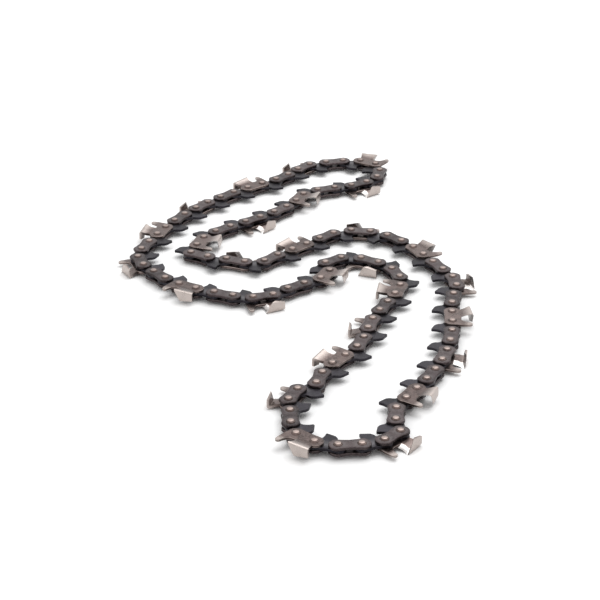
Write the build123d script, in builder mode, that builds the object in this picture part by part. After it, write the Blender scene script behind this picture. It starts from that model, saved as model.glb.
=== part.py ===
from build123d import *
import os
from cmath import phase
from math import degrees, radians, tan

# Saw chain lying on its side: driving sizes in millimetres
cutter_count = 28            # the loop has two drive links and four rivets to each cutter
pitch = 9.525                # rivet to rivet
gauge = 1.3                  # drive link thickness, which runs in the bar's groove
strap_thick = 1.25
side_play = 0.06             # drive link to strap, on each side
strap_half = 3.4             # rivet line to a strap's edge
strap_end = 3.6              # rivet to a strap's end
pin_radius = 1.6             # rivet hub in a drive link's hole
pin_play = 0.07

# Drive tang
tang_depth = 9.2             # rivet line to the toe
tang_root = 7.2              # width where it leaves the straps' shadow
tang_swell = 1.4             # that width's place below the strap's edge
tang_tip = 2.6               # width at the toe
toe_slope = 1.0              # the toe's front corner below its rear one

# Cutter
cutter_height = 9.6          # rivet line to the top plate's face
gauge_drop = 0.6             # depth gauge below the cutting corner
gauge_lead = 4.0             # depth gauge ahead of the front rivet
gauge_nose = 0.3             # slope of its front, along the chain
gauge_tip = 1.7              # its tip, along the chain
gullet_floor = 4.0           # rivet line to the gullet's floor
gullet_slope = 1.6           # slope of the gullet's front, along the chain
cutter_set = 1.4             # cutting corner outboard of the strap's face
head_front = 3.6             # cutting corner behind the front rivet
head_tail = 3.6              # head's end behind the rear rivet
side_lap = 0.6               # side plate's lap on the strap
side_thick = 1.55            # side plate, below the top plate
plate_width = 5.2            # top plate, across the chain, at its front
plate_taper = 1.2            # its narrowing to the rear
plate_thick = 1.2
plate_angle = 30             # filing angle of the cutting edge
top_relief = 0.14            # the top plate falls this much per millimetre to the rear
side_relief = 0.05           # and the side plate leans in this much

# Where the loop lies on the table, seen from above: points along it, counter-clockwise from its far end
lay_points = [
    (41, 161), (33, 166), (15, 164), (6, 161), (-6, 146), (-27, 127), (-47, 107), (-63, 83),
    (-74, 56), (-78, 38), (-69, 21), (-56, 7), (-39, -2), (-21, -7), (-12, -4), (-5, 3), (10, 14),
    (14, 22), (12, 31), (20, 37), (38, 31), (47, 14), (43, -5), (32, -31), (24, -58), (9, -82),
    (6, -91), (-2, -96), (-4, -114), (-1, -133), (7, -139), (25, -140), (40, -129), (38, -119),
    (44, -102), (61, -68), (68, -31), (71, -2), (73, 8), (67, 25), (49, 58), (34, 69), (24, 70),
    (2, 52), (-12, 39), (-19, 32), (-36, 36), (-53, 44), (-50, 53), (-47, 62), (-35, 75),
    (-13, 94), (-2, 109), (2, 118), (10, 124), (27, 130), (41, 142), (43, 152),
]

# Heights of the layers above the table
low_strap = cutter_set
drive_bottom = low_strap + strap_thick + side_play
high_strap = drive_bottom + gauge + side_play
strap_face = high_strap + strap_thick
mid_height = drive_bottom + gauge / 2
corner_height = strap_face + cutter_set

# Outlines in a link's own frame: its front rivet at 0, its rear one a pitch along,
# the drive tang to the left and the cutter to the right
link_middle = pitch / 2
end_cut = strap_half * tan(radians(22.5))
strap_outline = [
    (-end_cut, -strap_half), (pitch + end_cut, -strap_half), (pitch + strap_end, -end_cut),
    (pitch + strap_end, end_cut), (pitch + end_cut, strap_half), (-end_cut, strap_half),
    (-strap_end, end_cut), (-strap_end, -end_cut),
]
link_half = strap_half - 0.5
link_end = strap_end - 0.2
drive_outline = [
    (-link_half / 2, -link_half), (pitch + link_half / 2, -link_half), (pitch + link_end, -link_half / 4),
    (pitch + link_end, link_half / 2), (link_middle + tang_root / 2, strap_half + tang_swell),
    (link_middle + tang_tip / 2, tang_depth - toe_slope), (link_middle - tang_tip / 2, tang_depth),
    (link_middle - tang_root / 2, strap_half + tang_swell), (-link_end, link_half / 2),
    (-link_end, -link_half / 4),
]

gauge_top = cutter_height - gauge_drop
gauge_back = gauge_nose + gauge_tip - gauge_lead
cutter_outline = [
    (-end_cut, strap_half), (-strap_end, end_cut), (-gauge_lead, -strap_half),
    (gauge_nose - gauge_lead, -gauge_top), (gauge_back, -gauge_top),
    (gauge_back + gullet_slope, -gullet_floor), (pitch + end_cut, -gullet_floor),
    (pitch + strap_end, end_cut), (pitch + end_cut, strap_half),
]

head_length = pitch + head_tail - head_front
head_root = gullet_floor - side_lap
plate_under = cutter_height - plate_thick
plate_edge = corner_height - plate_width
head_outline = [
    (-head_root, strap_face), (-cutter_height, corner_height), (-cutter_height, plate_edge),
    (-plate_under, plate_edge), (-plate_under, corner_height - side_thick),
    (-head_root, high_strap + side_relief * head_length + side_play),
]
edge_sweep = plate_width * tan(radians(plate_angle))
head_end = head_front + head_length
plate_fall = cutter_height - top_relief * head_length
plate_rear = plate_edge - side_relief * head_length + plate_taper
edge_outline = [
    (0, corner_height), (head_front, corner_height), (head_front + edge_sweep, plate_edge),
    (head_end, plate_rear), (head_end, -plate_width), (0, -plate_width),
]

# The lay in fine steps, each a complex number x + yj
rivet_count = 4 * cutter_count
with BuildLine() as lay:
    Spline(*lay_points, periodic=True)
lay_edge = lay.edges()[0]
lay_steps = 2400
lay_course = [lay_edge @ (step / lay_steps) for step in range(lay_steps)]
lay_course = [complex(spot.X, spot.Y) for spot in lay_course]


# Rivets one pitch apart along the lay, and how many of its steps they take up
def walk(scale):
    course = [spot * scale for spot in lay_course]
    spots = [course[0]]
    taken, share = 0, 0
    for _ in range(rivet_count):
        here = spots[-1]
        while abs(course[(taken + 1) % lay_steps] - here) < pitch:
            taken += 1
        near, far = course[taken % lay_steps], course[(taken + 1) % lay_steps]
        share = (pitch - abs(near - here)) / (abs(far - here) - abs(near - here))
        stride = near + share * (far - near) - here
        spots.append(here + stride * pitch / abs(stride))
    return spots[:-1], taken + share


# The scale of the lay at which the last link meets the first
def closed_walk():
    low = 0.98 * rivet_count * pitch / lay_edge.length
    high = 1.10 * low
    for _ in range(60):
        middle = (low + high) / 2
        if walk(middle)[1] > lay_steps:
            low = middle
        else:
            high = middle
    return walk(high)[0]


# The loop, moved so that its box is centred on the origin
def centred(spots):
    corners = []
    for index, front in enumerate(spots):
        along = (spots[(index + 1) % rivet_count] - front) / pitch
        outline = drive_outline
        if index % 4 == 0:
            outline = cutter_outline + [(head_front, -cutter_height), (head_end, -plate_fall)]
        corners += [front + complex(*corner) * along for corner in outline]
    xs = [corner.real for corner in corners]
    ys = [corner.imag for corner in corners]
    middle = complex(min(xs) + max(xs), min(ys) + max(ys)) / 2
    return [spot - middle for spot in spots]


rivets = centred(closed_walk())


def link_place(index):
    front, rear = rivets[index], rivets[(index + 1) % rivet_count]
    return Location((front.real, front.imag, 0), (0, 0, degrees(phase(rear - front))))


# Drive links, plain and with the hole that turns on the next run's rivet
with BuildPart() as drive_link:
    with BuildSketch(Plane.XY.offset(drive_bottom)):
        Polygon(*drive_outline, align=None)
    extrude(amount=gauge)

with BuildPart() as bored_link:
    add(drive_link.part)
    with BuildSketch(Plane.XY.offset(drive_bottom)):
        with Locations((pitch, 0)):
            RegularPolygon(pin_radius + pin_play, side_count=8, major_radius=False)
    extrude(amount=gauge, mode=Mode.SUBTRACT)

# A pair of tie straps, and the single strap opposite a cutter with its rivet's hub
with BuildPart() as tie_straps:
    for height in (low_strap, high_strap):
        with BuildSketch(Plane.XY.offset(height)):
            Polygon(*strap_outline, align=None)
        extrude(amount=strap_thick)

with BuildPart() as low_pin_strap:
    with BuildSketch(Plane.XY.offset(low_strap)):
        Polygon(*strap_outline, align=None)
    extrude(amount=strap_thick)
    with BuildSketch(Plane.XY.offset(low_strap + strap_thick)):
        Circle(pin_radius)
    extrude(amount=gauge + 2 * side_play)

with BuildPart() as high_pin_strap:
    mirror(low_pin_strap.part, about=Plane.XY.offset(mid_height))

# The cutter: side plate set outboard, top plate folded back over the chain, front filed at an angle
with BuildPart() as cutter_head:
    with BuildSketch(Plane.YZ.offset(head_front)):
        Polygon(*head_outline, align=None)
    extrude(amount=head_length, dir=(1, top_relief, -side_relief))
    with BuildSketch(Plane.XZ):
        Polygon(*edge_outline, align=None)
    extrude(amount=2 * cutter_height, both=True, mode=Mode.SUBTRACT)

with BuildPart() as right_cutter:
    with BuildSketch(Plane.XY.offset(high_strap)):
        Polygon(*cutter_outline, align=None)
    extrude(amount=strap_thick)
    add(cutter_head.part)

with BuildPart() as left_cutter:
    mirror(right_cutter.part, about=Plane.XY.offset(mid_height))

# Each run of the loop: cutter, drive link, tie straps and the drive link that joins the next run
os.makedirs("parts", exist_ok=True)
for run in range(cutter_count):
    hand, cutter, pin_strap = "right", right_cutter, low_pin_strap
    if run % 2:
        hand, cutter, pin_strap = "left", left_cutter, high_pin_strap
    first = 4 * run
    with BuildPart() as cutter_piece:
        with Locations(link_place(first)):
            add(cutter.part)
    with BuildPart() as link_run:
        for step, links in enumerate((pin_strap, drive_link, tie_straps, bored_link)):
            with Locations(link_place(first + step)):
                add(links.part)
    cutter_piece.part.label = f"{hand}_cutter_{run + 1:02d}"
    link_run.part.label = f"link_run_{run + 1:02d}"
    export_step(cutter_piece.part, f"parts/{cutter_piece.part.label}.step")
    export_step(link_run.part, f"parts/{link_run.part.label}.step")
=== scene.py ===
import math
import bmesh
import bpy
import numpy as np
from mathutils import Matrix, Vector


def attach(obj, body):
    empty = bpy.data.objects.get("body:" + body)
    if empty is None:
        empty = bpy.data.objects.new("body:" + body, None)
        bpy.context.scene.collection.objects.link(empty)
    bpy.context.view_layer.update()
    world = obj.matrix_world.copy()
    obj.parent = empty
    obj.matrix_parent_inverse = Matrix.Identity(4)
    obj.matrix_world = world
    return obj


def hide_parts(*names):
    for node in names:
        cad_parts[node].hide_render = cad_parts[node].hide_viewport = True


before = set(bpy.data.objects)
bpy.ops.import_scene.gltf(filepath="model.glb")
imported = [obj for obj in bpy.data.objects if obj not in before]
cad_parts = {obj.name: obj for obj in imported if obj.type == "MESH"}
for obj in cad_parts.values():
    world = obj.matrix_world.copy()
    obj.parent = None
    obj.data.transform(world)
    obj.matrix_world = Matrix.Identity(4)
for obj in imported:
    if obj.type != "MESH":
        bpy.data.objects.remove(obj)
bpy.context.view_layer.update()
scene = bpy.context.scene
scene.view_settings.view_transform = "Standard"
mm = 0.001
runCount = 28


# where the rivets are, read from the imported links
def islandsOf(node):
    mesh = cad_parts[node].data
    spots, group, points, index = {}, [], [], []
    for vertex in mesh.vertices:
        key = tuple(round(c * 1e6) for c in vertex.co)
        if key not in spots:
            spots[key] = len(points)
            points.append(tuple(vertex.co))
            group.append(spots[key])
        index.append(spots[key])

    def root(n):
        while group[n] != n:
            group[n] = group[group[n]]
            n = group[n]
        return n

    for face in mesh.polygons:
        first, *others = [index[v] for v in face.vertices]
        for other in others:
            group[root(other)] = root(first)
    shells = {}
    for n, point in enumerate(points):
        shells.setdefault(root(n), []).append(point)
    return [np.array(shell) for shell in shells.values()]


def middleOf(points):
    return (points.min(axis=0) + points.max(axis=0)) / 2


def readRun(number):
    shells = sorted(islandsOf(f"link_run_{number:02d}"), key=lambda s: np.ptp(s[:, 2]))
    straps, pinStrap = shells[:2], shells[-1]
    levels = sorted((s[:, 2].min(), s[:, 2].max()) for s in straps)
    top, bottom = pinStrap[:, 2].max(), pinStrap[:, 2].min()
    ends = [pinStrap[np.abs(pinStrap[:, 2] - level) < 1e-6] for level in (bottom, top)]
    outer, hub = sorted(ends, key=len)
    centre, front = outer[:, :2].mean(axis=0), middleOf(hub)[:2]
    rear = 2 * centre - front
    tie = straps[0][np.abs(straps[0][:, 2] - straps[0][:, 2].min()) < 1e-6][:, :2]
    tieCentre = tie.mean(axis=0)
    along = np.linalg.eigh(np.cov((tie - tieCentre).T))[1][:, 1] * np.linalg.norm(rear - front) / 2
    pair = sorted((tieCentre - along, tieCentre + along), key=lambda p: np.linalg.norm(p - rear))
    return [front, rear, pair[0], pair[1]], levels


runs, levels = {}, None
for number in range(1, runCount + 1):
    runs[number], levels = readRun(number)
pitch = float(np.linalg.norm(runs[1][1] - runs[1][0])) / mm
midHeight = (levels[0][0] + levels[1][1]) / 2
strapFace = (levels[1][1] - midHeight) / mm        # all shapes below are in mm, about the chain's middle layer
strapUnder = (levels[1][0] - midHeight) / mm
middle = pitch / 2
print("rivets read:", 4 * runCount, "pitch", round(pitch, 3), "mid height", round(midHeight / mm, 3))


# base shapes, front rivet at the origin and the rear one a pitch along
def arc(cx, cy, radius, start, end, steps):
    turn = [math.radians(start + (end - start) * n / steps) for n in range(steps + 1)]
    return [(cx + radius * math.cos(t), cy + radius * math.sin(t)) for t in turn]


def rounded(points, steps=2):
    count, out = len(points), []
    for n in range(count):
        a, b, c, d = (np.array(points[(n + k) % count]) for k in (-1, 0, 1, 2))
        for step in range(steps):
            t = step / steps
            out.append(tuple(0.5 * (2 * b + (c - a) * t + (2 * a - 5 * b + 4 * c - d) * t ** 2
                                    + (3 * b - a - 3 * c + d) * t ** 3)))
    return out


def inset(points, depth):
    count, out = len(points), []
    for n in range(count):
        before, here, after = (Vector(points[(n + k) % count]) for k in (-1, 0, 1))
        one, two = (here - before).normalized(), (after - here).normalized()
        side = Vector((-one.y - two.y, one.x + two.x))
        side = side.normalized() if side.length > 1e-6 else Vector((-one.y, one.x))
        out.append(tuple(here + side * depth))
    return out


def ringOf(bm, points, height, rim, rimLayer):
    ring = []
    for x, y in points:
        vertex = bm.verts.new((x, y, height))
        vertex[rimLayer] = rim
        ring.append(vertex)
    return ring


def wall(bm, low, high):
    for n in range(len(low)):
        k = (n + 1) % len(low)
        bm.faces.new((low[n], low[k], high[k], high[n]))


wearAndShadeMarks = {"face": 0.25, "edge": 1.0, "wall": -1.0, "bore": 0.3, "rubbed": 0.55}      # for the rim and polish layers; the wall value marks painted shade on the side walls


def plate(bm, outline, bottom, top, edge, holes=()):
    rim, polishAndHighlight = (bm.verts.layers.float[name] for name in ("rim", "polishAndHighlight"))
    inner = inset(outline, edge)
    rings = [ringOf(bm, points, height, wearAndShadeMarks[mark], rim) for points, height, mark in (
        (inner, bottom, "face"), (outline, bottom + edge, "edge"), (outline, (bottom + top) / 2, "wall"),
        (outline, top - edge, "edge"), (inner, top, "face"))]
    for low, high in zip(rings, rings[1:]):
        wall(bm, low, high)
    bores = []
    for cx, cy, radius in holes:
        circle = arc(cx, cy, radius, 0, 330, 11)
        pair = [ringOf(bm, circle, height, wearAndShadeMarks["bore"], rim) for height in (bottom, top)]
        for vertex in pair[0] + pair[1]:
            vertex[polishAndHighlight] = wearAndShadeMarks["rubbed"]        # paler round the rivets
        wall(bm, pair[1], pair[0])
        bores.append(pair)
    for level, ring in ((0, rings[0]), (1, rings[-1])):
        edges = []
        for loop in [ring] + [pair[level] for pair in bores]:
            edges += [bm.edges.get((loop[n], loop[n - 1])) for n in range(len(loop))]
        bmesh.ops.triangle_fill(bm, use_beauty=True, use_dissolve=False, edges=edges)


def newShape(name, build, flip=False):
    bm = bmesh.new()
    for layer in ("rim", "polishAndHighlight"):
        bm.verts.layers.float.new(layer)
    bm.faces.layers.bool.new("ground")
    build(bm)
    if flip:
        for vertex in bm.verts:
            vertex.co.z = -vertex.co.z
    bmesh.ops.recalc_face_normals(bm, faces=bm.faces)
    for vertex in bm.verts:
        vertex.co *= mm
    mesh = bpy.data.meshes.new(name)
    bm.to_mesh(mesh)
    bm.free()
    return bpy.data.objects.new(name, mesh)         # never linked, so only its instances show


strapSizes = {"endRadius": 3.85, "waist": 3.05, "edge": 0.24, "hole": 1.4}
strapOutline = (arc(pitch, 0, strapSizes["endRadius"], -80, 80, 8) + [(middle, strapSizes["waist"])]
                + arc(0, 0, strapSizes["endRadius"], 100, 260, 8) + [(middle, -strapSizes["waist"])])
strapOutline = rounded(strapOutline)
strapHoles = [(0, 0, strapSizes["hole"]), (pitch, 0, strapSizes["hole"])]


def buildUpperStrap(bm):
    plate(bm, strapOutline, strapUnder, strapFace, strapSizes["edge"], strapHoles)


driveSizes = {"endRadius": 3.5, "thick": 1.3, "edge": 0.16, "hole": 1.67, "toe": 9.2}
driveOutline = (
    arc(pitch, 0, driveSizes["endRadius"], -75, 62, 7)
    + [(middle + 3.7, 4.5), (middle + 3.1, 6.4), (middle + 1.9, 7.9), (middle + 0.3, 8.5), (middle - 1.5, 9.1),
       (middle - 2.1, driveSizes["toe"]), (middle - 2.5, 8.7), (middle - 2.55, 7.0), (middle - 3.0, 5.6),
       (middle - 3.7, 4.4)]
    + arc(0, 0, driveSizes["endRadius"], 118, 255, 7) + [(middle, -2.5)])
driveOutline = rounded(driveOutline)


def buildDriveLink(bm):
    half = driveSizes["thick"] / 2
    plate(bm, driveOutline, -half, half, driveSizes["edge"],
          [(0, 0, driveSizes["hole"]), (pitch, 0, driveSizes["hole"])])


cutterSizes = {
    "height": 9.6, "front": 3.6, "end": pitch + 3.45, "set": 1.4, "plateWidth": 5.2, "taper": 1.2, "angle": 30,
    "topRelief": 0.14, "sideRelief": 0.05, "bevel": 1.9, "edge": 0.2, "gullet": 4.05, "gaugeTop": 8.95,
    "gaugeShine": 0.8, "shineFrom": 5, "shineOver": 3,
}
cutterOutline = (
    [(-3.75, -1.9), (-3.95, -4.4), (-3.9, -7.3), (-3.6, -8.4), (-3.0, -cutterSizes["gaugeTop"]),
     (-2.2, -8.9), (-1.6, -8.3), (-1.25, -7.0), (-0.7, -5.6), (0.2, -4.6), (1.3, -cutterSizes["gullet"]),
     (2.6, -4.0), (4.2, -4.1), (8.8, -4.1), (pitch + 1.7, -3.4)]
    + arc(pitch, 0, 3.8, -52, 85, 7) + [(middle, 3.45)] + arc(0, 0, 3.75, 95, 190, 5))
cutterOutline = rounded(cutterOutline)


# the folded head: its foot on the strap, the fold, the hooked front of the side plate, and how it shines
headSizes = {
    "foot": 2.9, "fold": 8.4, "rise": 6, "hookIn": 0.9, "hookOut": 2.6, "tailCut": 2.2, "shineFrom": 4.4,
    "shineOver": 3.6, "innerShine": 0.35, "foldWearAndHighlight": 0.45, "faceWear": 0.15, "foldRows": (4, 5, 6, 9),
}


def buildHead(bm):
    size, head = cutterSizes, headSizes
    face = strapFace
    lip = face + size["set"] - size["plateWidth"]
    outer = [(2.9, -0.06), (4.2, 0.10), (6.0, 0.55), (7.5, 1.05), (8.4, 1.33), (8.95, 1.36), (9.4, 1.1),
             (9.58, 0.55), (9.6, -1.2)]
    inner = [(2.9, -1.19), (4.2, -1.12), (5.8, -0.72), (7.0, -0.28), (7.8, -0.1), (8.15, -0.12), (8.35, -0.3),
             (8.4, -0.6), (8.4, -1.4)]
    outer = [(b, face + z) for b, z in outer] + [(size["height"], lip)]
    inner = [(b, face + z) for b, z in inner] + [(head["fold"], lip)]
    stations = (0, 0.1, 0.55, 1)
    rim, polishAndHighlight = (bm.verts.layers.float[name] for name in ("rim", "polishAndHighlight"))
    sheets = []
    for skin, profile in enumerate((outer, inner)):
        grid = []
        for n, (b, z) in enumerate(profile):
            share = min(1, max(0, (b - head["foot"]) / head["rise"]))
            if n < 5:
                t = (b - head["foot"]) / (head["fold"] - head["foot"])
                start = size["front"] - head["hookIn"] * (1 - t) ** 2 + head["hookOut"] * t * (1 - t)
            else:
                start = size["front"] + max(0, face + size["set"] - z) * math.tan(math.radians(size["angle"]))
            start += skin * size["bevel"]
            end = size["end"] - head["tailCut"] * (1 - share)
            shine = min(1, max(0, (b - head["shineFrom"]) / head["shineOver"]))
            row = []
            for s in stations:
                x = start + (end - start) * s
                back = x - size["front"]
                y = -(b - share * size["topRelief"] * back)
                height = z - share * size["sideRelief"] * back
                if n == len(profile) - 1:
                    height += size["taper"] * s
                vertex = bm.verts.new((x, y, height))
                # fold rows get a higher rim value: paler along the fold, partly wear, partly a painted highlight
                faceWear = head["foldWearAndHighlight"] if n in head["foldRows"] else head["faceWear"]
                vertex[rim] = wearAndShadeMarks["edge"] if s == 0 else faceWear
                vertex[polishAndHighlight] = (head["innerShine"] if skin else 1) * shine
                row.append(vertex)
            grid.append(row)
        sheets.append(grid)
    out, back = sheets
    for n in range(len(out) - 1):
        for k in range(len(stations) - 1):
            bm.faces.new((out[n][k], out[n][k + 1], out[n + 1][k + 1], out[n + 1][k]))
            bm.faces.new((back[n][k], back[n + 1][k], back[n + 1][k + 1], back[n][k + 1]))
        front = bm.faces.new((out[n][0], out[n + 1][0], back[n + 1][0], back[n][0]))
        front[bm.faces.layers.bool["ground"]] = True
        bm.faces.new((out[n][-1], back[n][-1], back[n + 1][-1], out[n + 1][-1]))
    for k in range(len(stations) - 1):
        bm.faces.new((out[0][k], back[0][k], back[0][k + 1], out[0][k + 1]))
        bm.faces.new((out[-1][k], out[-1][k + 1], back[-1][k + 1], back[-1][k]))


def buildCutter(bm):
    plate(bm, cutterOutline, strapUnder, strapFace, cutterSizes["edge"], strapHoles)
    polishAndHighlight = bm.verts.layers.float["polishAndHighlight"]
    for vertex in bm.verts:
        shine = (-vertex.co.y - cutterSizes["shineFrom"]) / cutterSizes["shineOver"]
        vertex[polishAndHighlight] = min(cutterSizes["gaugeShine"], max(0, shine))      # the depth gauge is filed bright at its tip
    buildHead(bm)


rivetSizes = {
    "head": 2.05, "core": 1.3, "collar": 0.36, "dome": 0.7, "shank": 1.36, "hub": 1.62, "sides": 16,
    "edgeWearAndShade": 0.2, "coreShine": 0.9, "collarShine": 0.05,
}


def buildRivet(bm):
    rim, polishAndHighlight = (bm.verts.layers.float[name] for name in ("rim", "polishAndHighlight"))
    size = rivetSizes
    hubEnd = driveSizes["thick"] / 2
    half = [(size["hub"], hubEnd), (size["shank"], strapFace - 0.05), (size["head"], strapFace - 0.04),
            (size["head"] * 0.92, strapFace + size["collar"] * 0.7), (size["core"] * 1.06, strapFace + size["collar"]),
            (size["core"], strapFace + size["dome"] * 0.85), (size["core"] * 0.7, strapFace + size["dome"] * 0.97)]
    profile = [(r, -z) for r, z in reversed(half)] + half
    rings, lastTurn = [], 360 - 360 / size["sides"]
    for r, z in profile:
        rings.append(ringOf(bm, arc(0, 0, r, 0, lastTurn, size["sides"] - 1), z, size["edgeWearAndShade"], rim))
        for vertex in rings[-1]:
            # bright core on the head: partly rubbed metal, partly a painted highlight
            vertex[polishAndHighlight] = size["coreShine"] if r <= size["core"] else size["collarShine"]
    for low, high in zip(rings, rings[1:]):
        wall(bm, low, high)
    for ring, height in ((rings[0], -strapFace - size["dome"]), (rings[-1], strapFace + size["dome"])):
        tip = bm.verts.new((0, 0, height))
        tip[polishAndHighlight] = 1.0
        for n in range(size["sides"]):
            bm.faces.new((ring[n], ring[(n + 1) % size["sides"]], tip))


upperStrap = newShape("upperStrap", buildUpperStrap)
lowerStrap = newShape("lowerStrap", buildUpperStrap, flip=True)
driveLink = newShape("driveLink", buildDriveLink)
rightCutter = newShape("rightCutter", buildCutter)
leftCutter = newShape("leftCutter", buildCutter, flip=True)
rivet = newShape("rivet", buildRivet)
print("shapes:", {s.name: len(s.data.polygons) for s in (upperStrap, driveLink, rightCutter, rivet)})


# shader maths: a socket that takes part in expressions
class Wire:
    def __init__(self, tree, socket=None):
        self.tree, self.socket = tree, socket

    def node(self, kind, settings=None, values=None, out=0):
        made = self.tree.nodes.new(kind)
        for name, value in (settings or {}).items():
            setattr(made, name, value)
        for name, value in (values or {}).items():
            if isinstance(value, Wire):
                self.tree.links.new(value.socket, made.inputs[name])
            else:
                made.inputs[name].default_value = value
        return Wire(self.tree, made.outputs[out] if len(made.outputs) else None)

    def math(self, operation, a, b):
        return self.node("ShaderNodeMath", {"operation": operation}, {0: a, 1: b})

    def __add__(self, other): return self.math("ADD", self, other)
    def __radd__(self, other): return self.math("ADD", other, self)
    def __sub__(self, other): return self.math("SUBTRACT", self, other)
    def __rsub__(self, other): return self.math("SUBTRACT", other, self)
    def __mul__(self, other): return self.math("MULTIPLY", self, other)
    def __rmul__(self, other): return self.math("MULTIPLY", other, self)

    def ramp(self, low, high):
        return self.node("ShaderNodeMapRange", {"clamp": True}, {0: self, 1: low, 2: high})

    def mix(self, first, second):
        return self.node("ShaderNodeMix", {"data_type": "RGBA"}, {0: self, 6: first, 7: second}, out=2)


noiseSizes = {"stain": 260, "grain": 1300, "scratch": 700, "streak": 9, "slant": 0.7, "relief": 0.00006}


def steel(name, look):
    finish = bpy.data.materials.new(name)
    finish.use_nodes = True
    tree = finish.node_tree
    tree.nodes.clear()
    start = Wire(tree)
    spot = start.node("ShaderNodeTexCoord", out="Object")
    rim = start.node("ShaderNodeAttribute", {"attribute_name": "rim"}, out="Fac")
    tone = start.node("ShaderNodeAttribute", {"attribute_name": "tone"}, out="Fac")
    polishAndHighlight = start.node("ShaderNodeAttribute", {"attribute_name": "polishAndHighlight"}, out="Fac")
    stain = start.node("ShaderNodeTexNoise", None, {
        "Vector": spot, "Scale": noiseSizes["stain"], "Detail": 5, "Roughness": 0.6})
    grain = start.node("ShaderNodeTexNoise", None, {
        "Vector": spot, "Scale": noiseSizes["grain"], "Detail": 4, "Roughness": 0.6})
    streak = start.node("ShaderNodeMapping", {"vector_type": "POINT"}, {
        "Vector": spot, "Rotation": (0, 0, noiseSizes["slant"]), "Scale": (1, noiseSizes["streak"], 1)})
    scratch = start.node("ShaderNodeTexNoise", None, {
        "Vector": streak, "Scale": noiseSizes["scratch"], "Detail": 2, "Roughness": 0.5})
    # edge mask: real wear where the edge colour is paler (cutters), painted shade where it is darker (link and drive
    # link outlines)
    edgeWearAndShadeMask = (rim * look["edgeWearAndShade"] * (0.45 + stain)).ramp(0.35, 0.95)
    patch = stain.ramp(0.40, 0.62)
    film = grain.ramp(0.38, 0.70)
    colour = patch.mix((*look["dark"], 1), (*look["base"], 1))
    colour = (film * 0.45 + tone * 0.45 - 0.08).ramp(0, 1).mix(colour, (*look["light"], 1))
    # paler where the polish layer is set: polished cutter heads, filed gauge tips and rubbed metal round the rivets,
    # plus a painted highlight on the rivet cores
    colour = (polishAndHighlight * (0.7 + 0.5 * stain)).ramp(0.1, 1.0).mix(colour, (*look["bright"], 1))
    colour = edgeWearAndShadeMask.mix(colour, (*look["edge"], 1))
    paintedWallShade = (0 - rim).ramp(0.1, 0.9)                  # painted shade on the side walls
    colour = paintedWallShade.mix(colour, (*look["paintedWallShade"], 1))
    rough = look["rough"] + 0.16 * (patch - 0.5) + 0.12 * (scratch - 0.5) - 0.08 * edgeWearAndShadeMask
    bump = start.node("ShaderNodeBump", None, {
        "Strength": look["bump"], "Distance": noiseSizes["relief"], "Height": 0.6 * scratch + 0.4 * grain})
    shader = start.node("ShaderNodeBsdfPrincipled", None, {
        "Base Color": colour, "Roughness": rough, "Metallic": look["metal"], "Normal": bump})
    start.node("ShaderNodeOutputMaterial", None, {"Surface": shader})
    return finish


# finishes: colours from dark film to bright metal
# link edge colour darker than the base: painted shade along the strap outlines
linkLook = {
    "dark": (0.014, 0.010, 0.011), "base": (0.048, 0.036, 0.038), "light": (0.15, 0.118, 0.118),
    "bright": (0.2, 0.18, 0.18), "edge": (0.032, 0.025, 0.026), "paintedWallShade": (0.009, 0.007, 0.008),
    "rough": 0.36, "metal": 0.85, "bump": 0.5, "edgeWearAndShade": 0.75,
}
# drive links darker than the straps, partly as painted shade; the bluish tone is the steel's own, and the darker edge
# is painted shade on the outlines
driveLook = {
    "dark": (0.011, 0.010, 0.013), "base": (0.026, 0.0235, 0.030), "light": (0.060, 0.055, 0.067),
    "bright": (0.2, 0.19, 0.2), "edge": (0.024, 0.022, 0.026), "paintedWallShade": (0.008, 0.007, 0.009),
    "rough": 0.36, "metal": 0.85, "bump": 0.5, "edgeWearAndShade": 0.7,
}
cutterLook = {
    "dark": (0.060, 0.044, 0.041), "base": (0.125, 0.092, 0.085), "light": (0.25, 0.195, 0.18),
    "bright": (0.50, 0.44, 0.41), "edge": (0.42, 0.36, 0.335), "paintedWallShade": (0.035, 0.026, 0.024),
    "rough": 0.33, "metal": 0.9, "bump": 0.3, "edgeWearAndShade": 0.8,
}
rivetLook = {
    "dark": (0.030, 0.020, 0.018), "base": (0.075, 0.051, 0.046), "light": (0.16, 0.118, 0.107),
    "bright": (0.40, 0.32, 0.29), "edge": (0.20, 0.155, 0.14), "paintedWallShade": (0.03, 0.021, 0.019),
    "rough": 0.34, "metal": 0.9, "bump": 0.3, "edgeWearAndShade": 0.4,
}
groundLook = {
    "dark": (0.38, 0.35, 0.335), "base": (0.50, 0.47, 0.455), "light": (0.62, 0.59, 0.575),
    "bright": (0.70, 0.67, 0.655), "edge": (0.74, 0.71, 0.69), "paintedWallShade": (0.4, 0.38, 0.36),
    "rough": 0.3, "metal": 0.85, "bump": 0.3, "edgeWearAndShade": 0.6,
}
linkSteel = steel("linkSteel", linkLook)
driveSteel = steel("driveSteel", driveLook)
cutterSteel = steel("cutterSteel", cutterLook)
rivetSteel = steel("rivetSteel", rivetLook)
groundSteel = steel("groundSteel", groundLook)


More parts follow.
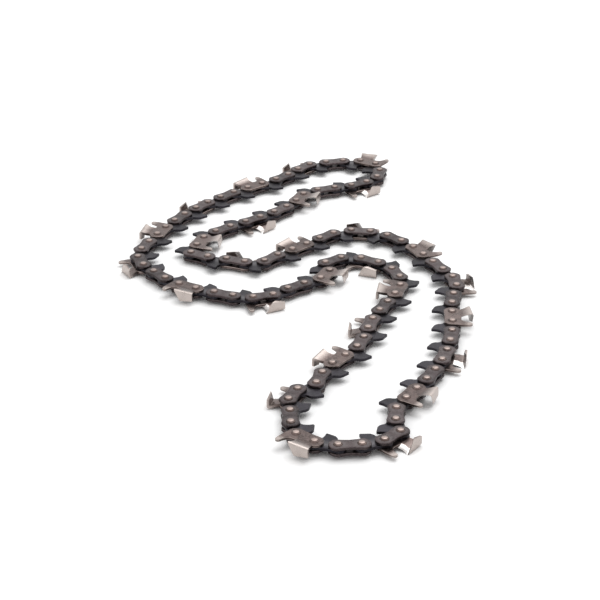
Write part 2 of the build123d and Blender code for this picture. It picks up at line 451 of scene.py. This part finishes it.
# node tree that lays one shape on every point of a run, turned to its heading
def linkTree():
    tree = bpy.data.node_groups.new("layLinks", "GeometryNodeTree")
    sockets = {}
    for name, kind in (("Geometry", "Geometry"), ("Shape", "Object"), ("Finish", "Material"),
                       ("Ground Finish", "Material"), ("Wobble", "Float"), ("Seed", "Int")):
        made = tree.interface.new_socket(name, in_out="INPUT", socket_type=f"NodeSocket{kind}")
        sockets[name] = made.identifier
    tree.interface.new_socket("Geometry", in_out="OUTPUT", socket_type="NodeSocketGeometry")

    def add(kind, settings=None, **values):
        node = tree.nodes.new(kind)
        for name, value in (settings or {}).items():
            setattr(node, name, value)
        for name, value in values.items():
            socket = node.inputs[name.replace("_", " ")]
            if isinstance(value, bpy.types.NodeSocket):
                tree.links.new(value, socket)
            else:
                socket.default_value = value
        return node

    given = tree.nodes.new("NodeGroupInput").outputs
    shape = add("GeometryNodeObjectInfo", {"transform_space": "ORIGINAL"}, Object=given["Shape"])
    heading = add("GeometryNodeInputNamedAttribute", {"data_type": "FLOAT"}, Name="heading")
    sway = add("FunctionNodeRandomValue", {"data_type": "FLOAT_VECTOR"}, Seed=given["Seed"])
    sway.inputs["Min"].default_value = (-1, -1, 0)
    sway.inputs["Max"].default_value = (1, 1, 0)
    scaled = add("ShaderNodeVectorMath", {"operation": "SCALE"}, Vector=sway.outputs["Value"], Scale=given["Wobble"])
    turn = add("ShaderNodeCombineXYZ", Z=heading.outputs["Attribute"])
    placed = add("GeometryNodeInstanceOnPoints", Points=given["Geometry"], Instance=shape.outputs["Geometry"],
                 Rotation=turn.outputs[0])
    tilted = add("GeometryNodeRotateInstances", Instances=placed.outputs[0], Rotation=scaled.outputs[0])
    shade = add("FunctionNodeRandomValue", {"data_type": "FLOAT"}, Seed=given["Seed"])
    toned = add("GeometryNodeStoreNamedAttribute", {"data_type": "FLOAT", "domain": "INSTANCE"},
                Geometry=tilted.outputs[0], Name="tone")
    toneInput = next(s for s in toned.inputs if s.name == "Value" and s.enabled)
    tree.links.new(next(s for s in shade.outputs if s.enabled), toneInput)
    real = add("GeometryNodeRealizeInstances", Geometry=toned.outputs[0])
    plain = add("GeometryNodeSetMaterial", Geometry=real.outputs[0], Material=given["Finish"])
    ground = add("GeometryNodeInputNamedAttribute", {"data_type": "BOOLEAN"}, Name="ground")
    bright = add("GeometryNodeSetMaterial", Geometry=plain.outputs[0], Material=given["Ground Finish"])
    tree.links.new(next(s for s in ground.outputs if s.enabled), bright.inputs["Selection"])
    result = tree.nodes.new("NodeGroupOutput")
    tree.links.new(bright.outputs[0], result.inputs[0])
    return tree, sockets


layLinks, layInputs = linkTree()
layout = {"wobble": 0.005, "cutterWobble": 0.0, "seed": 11, "seedStep": 7, "smooth": 34}


def lay(name, shape, places, finish, seed, wobble):
    mesh = bpy.data.meshes.new(name)
    mesh.from_pydata([(x, y, midHeight) for x, y, turn in places], [], [])
    heading = mesh.attributes.new("heading", "FLOAT", "POINT")
    heading.data.foreach_set("value", [turn for x, y, turn in places])
    carrier = bpy.data.objects.new(name, mesh)
    scene.collection.objects.link(carrier)
    modifier = carrier.modifiers.new("lay", "NODES")
    modifier.node_group = layLinks
    for socket, value in (("Shape", shape), ("Finish", finish), ("Ground Finish", groundSteel),
                          ("Wobble", wobble), ("Seed", seed)):
        modifier[layInputs[socket]] = value
    bpy.context.view_layer.update()
    graph = bpy.context.evaluated_depsgraph_get()
    made = bpy.data.meshes.new_from_object(
        carrier.evaluated_get(graph), preserve_all_data_layers=True, depsgraph=graph)
    bpy.data.objects.remove(carrier)
    return made


def joined(name, meshes, body, nodes=()):
    bm = bmesh.new()
    finishes = []
    for mesh in meshes:
        base = len(finishes)
        finishes += list(mesh.materials)
        first = len(bm.faces)
        bm.from_mesh(mesh)
        bm.faces.ensure_lookup_table()
        for face in bm.faces[first:]:
            face.material_index += base
    whole = bpy.data.meshes.new(name)
    bm.to_mesh(whole)
    bm.free()
    for finish in finishes:
        whole.materials.append(finish)
    for face in whole.polygons:
        face.use_smooth = True
    whole.set_sharp_from_angle(angle=math.radians(layout["smooth"]))
    piece = bpy.data.objects.new(name, whole)
    scene.collection.objects.link(piece)
    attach(piece, body)
    if nodes:
        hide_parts(*nodes)
    return piece


faceTotal = 0
for number in range(1, runCount + 1):
    spots = runs[number] + [runs[number % runCount + 1][0]]
    turns = [math.atan2(*(b - a)[::-1]) for a, b in zip(spots, spots[1:])]
    places = [(spot[0], spot[1], turn) for spot, turn in zip(spots, turns)]
    hand, cutter, plain = ("right", rightCutter, lowerStrap) if number % 2 else ("left", leftCutter, upperStrap)
    body, seed = f"run_{number:02d}", layout["seed"] + layout["seedStep"] * number
    other = upperStrap if plain is lowerStrap else lowerStrap
    wobble, cutterWobble = layout["wobble"], layout["cutterWobble"]
    layers = [lay("drive", driveLink, places[1::2], driveSteel, seed, wobble),
              lay("near", plain, places[0::2], linkSteel, seed + 1, wobble),
              lay("far", other, places[2:3], linkSteel, seed + 2, wobble)]
    links = joined(f"links_{number:02d}", layers, body, [f"link_run_{number:02d}"])
    layers = [lay("cutter", cutter, places[:1], cutterSteel, seed + 3, cutterWobble)]
    blade = joined(f"cutter_{number:02d}", layers, body, [f"{hand}_cutter_{number:02d}"])
    layers = [lay("rivets", rivet, places, rivetSteel, seed + 4, wobble)]
    studs = joined(f"rivets_{number:02d}", layers, body)
    faceTotal += sum(len(piece.data.polygons) for piece in (links, blade, studs))
print("links, cutters and rivets laid, faces:", faceTotal)


# floor, light and camera
stageSizes = {"floor": 8.0, "shade": 0.82, "seenShade": 1.14, "world": 0.5}


def seenRays(wire):
    camera, glossy, through = (wire.node("ShaderNodeLightPath", out=f"Is {kind} Ray")
                               for kind in ("Camera", "Glossy", "Transmission"))
    return (camera + glossy + through).ramp(0, 1)      # 1 where the background is looked at, straight on or in metal


floorMesh = bpy.data.meshes.new("floor")
half = stageSizes["floor"] / 2
floorCorners = [(-half, -half, 0), (half, -half, 0), (half, half, 0), (-half, half, 0)]
floorMesh.from_pydata(floorCorners, [], [(0, 1, 2, 3)])
floor = bpy.data.objects.new("floor", floorMesh)
scene.collection.objects.link(floor)
paper = bpy.data.materials.new("paper")
paper.use_nodes = True
paper.node_tree.nodes.clear()
sheet = Wire(paper.node_tree)
shade, seenShade = ((*[stageSizes[name]] * 3, 1) for name in ("shade", "seenShade"))
tint = seenRays(sheet).mix(shade, seenShade)           # white paper where it is seen
pale = sheet.node("ShaderNodeBsdfDiffuse", None, {"Color": tint})
sheet.node("ShaderNodeOutputMaterial", None, {"Surface": pale})
floorMesh.materials.append(paper)

world = bpy.data.worlds.new("studio")
scene.world = world
world.use_nodes = True
world.node_tree.nodes.clear()
sky = Wire(world.node_tree)
strength = stageSizes["world"] + seenRays(sky) * (1 - stageSizes["world"])
dome = sky.node("ShaderNodeBackground", None, {"Color": (1, 1, 1, 1), "Strength": strength})
sky.node("ShaderNodeOutputWorld", None, {"Surface": dome})

lamps = {
    "key": {"place": (0.25, 0.30, 1.0), "size": 1.1, "power": 8.0},
    "fill": {"place": (-0.7, -0.45, 0.7), "size": 0.7, "power": 1.5},
}
for name, lampSizes in lamps.items():
    lamp = bpy.data.lights.new(name, "AREA")
    lamp.size, lamp.energy = lampSizes["size"], lampSizes["power"]
    holder = bpy.data.objects.new(name, lamp)
    holder.location = lampSizes["place"]
    holder.rotation_euler = (-Vector(lampSizes["place"])).to_track_quat("-Z", "Y").to_euler()
    scene.collection.objects.link(holder)

view = {"elevation": 25.587, "distance": 0.82169, "lens": 106.18, "target": (0.00277, -0.01402)}
lens = bpy.data.cameras.new("camera")
lens.sensor_width, lens.lens = 36, view["lens"]
lens.clip_start, lens.clip_end = 0.01, 30
camera = bpy.data.objects.new("camera", lens)
rise = math.radians(view["elevation"])
across, along = view["target"]
camera.location = (across, along - view["distance"] * math.cos(rise), view["distance"] * math.sin(rise))
camera.rotation_euler = (math.pi / 2 - rise, 0, 0)
scene.collection.objects.link(camera)
scene.camera = camera
print("stage, lights and camera set")
